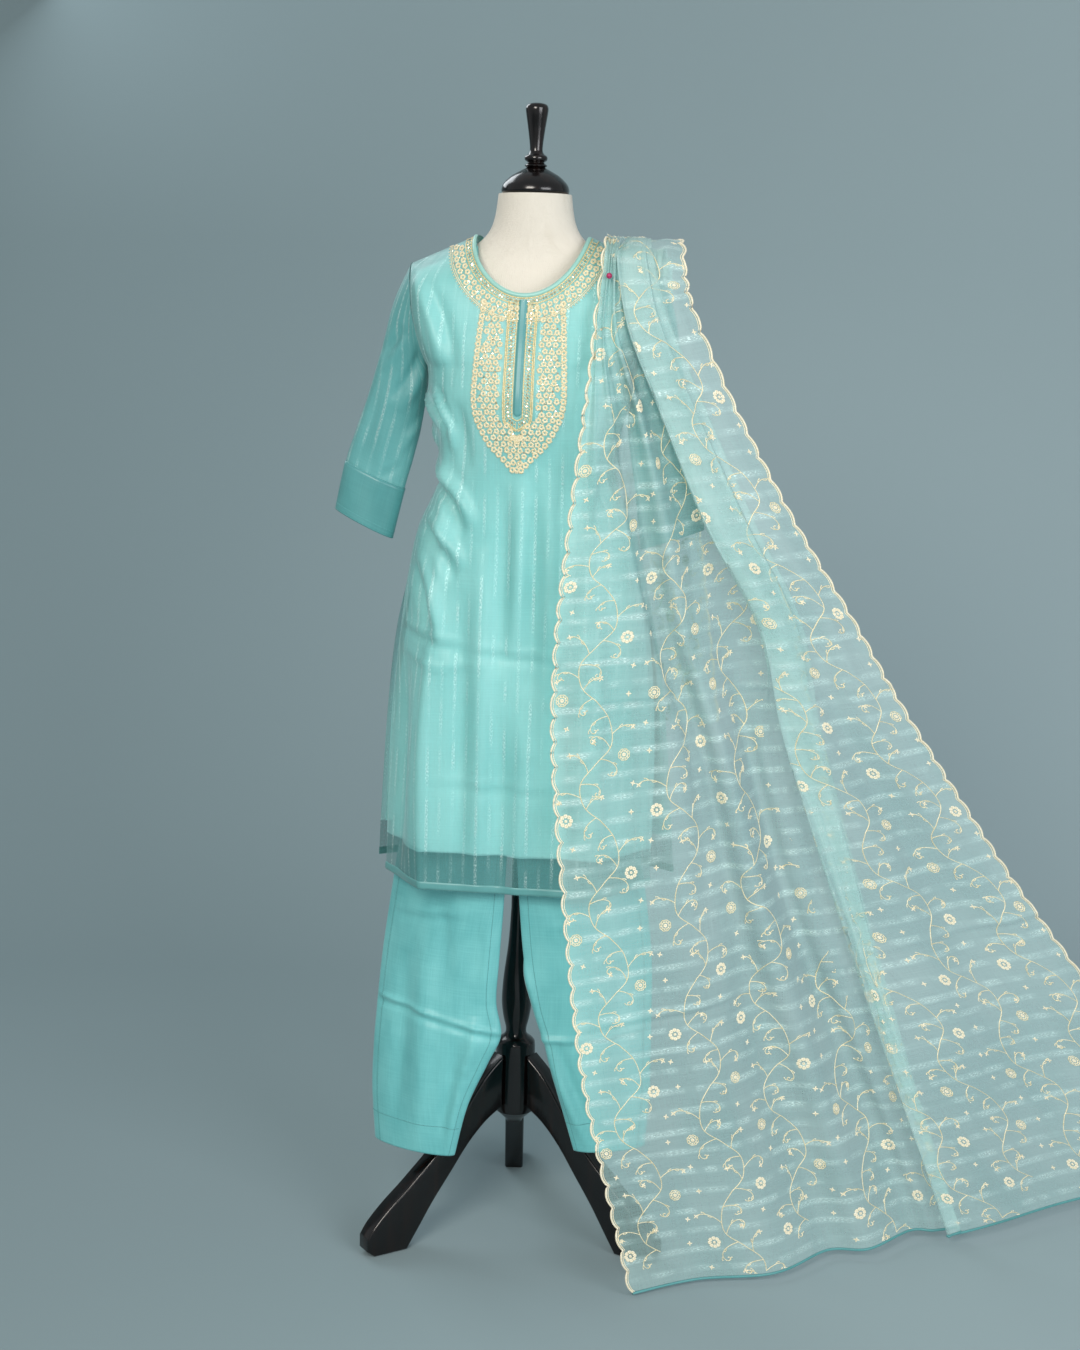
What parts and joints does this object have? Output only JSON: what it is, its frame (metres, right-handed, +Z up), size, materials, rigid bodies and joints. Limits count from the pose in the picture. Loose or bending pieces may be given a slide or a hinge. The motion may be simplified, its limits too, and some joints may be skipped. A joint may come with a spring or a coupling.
{
  "type": "salwar kameez suit on a dress form stand",
  "caption": "Three-piece suit shown on a padded dress form with a turned stand: knee-length kameez, straight salwar and a long sheer dupatta pinned on one shoulder.",
  "frame": {"origin": "middle of the base of the whole object's box, on the floor that the stand's feet rest on", "axes": "+Z up; the kameez's front faces -Y, turned 8 degrees towards -X; the dupatta trails towards +X"},
  "size_m": [1.441, 0.5158, 1.702],
  "materials": {
    "organza": "satin tissue organza with woven lurex stripes",
    "lining": "matt plain weave",
    "trouser_silk": "soft satin weave",
    "binding": "folded satin binding",
    "dupatta_organza": "sheer crisp organza with lurex cross stripes and embroidery",
    "form_jersey": "matt cotton jersey",
    "lacquered_wood": "dark glossy lacquer",
    "pin_bead": "glossy bead"
  },
  "bodies": {
    "root": {"stand_post": "lacquered_wood", "stand_leg_left": "lacquered_wood", "stand_leg_right": "lacquered_wood", "stand_leg_back": "lacquered_wood", "neck_cap": "lacquered_wood", "finial": "lacquered_wood", "form_body": "form_jersey", "kameez_front": "organza", "kameez_back": "organza", "sleeve_left": "organza", "sleeve_right": "organza", "lining_front": "lining", "lining_back": "lining", "kameez_hem_front": "binding", "kameez_hem_back": "binding", "neck_binding_front": "binding", "neck_binding_back": "binding", "placket": "binding", "sleeve_cuff_left": "binding", "sleeve_cuff_right": "binding", "trouser_left": "trouser_silk", "trouser_right": "trouser_silk", "trouser_waistband": "trouser_silk", "dupatta_front": "dupatta_organza", "dupatta_shoulder": "dupatta_organza", "dupatta_back": "dupatta_organza", "dupatta_piping": "binding", "shoulder_pin": "pin_bead"}
  },
  "joints": []
}
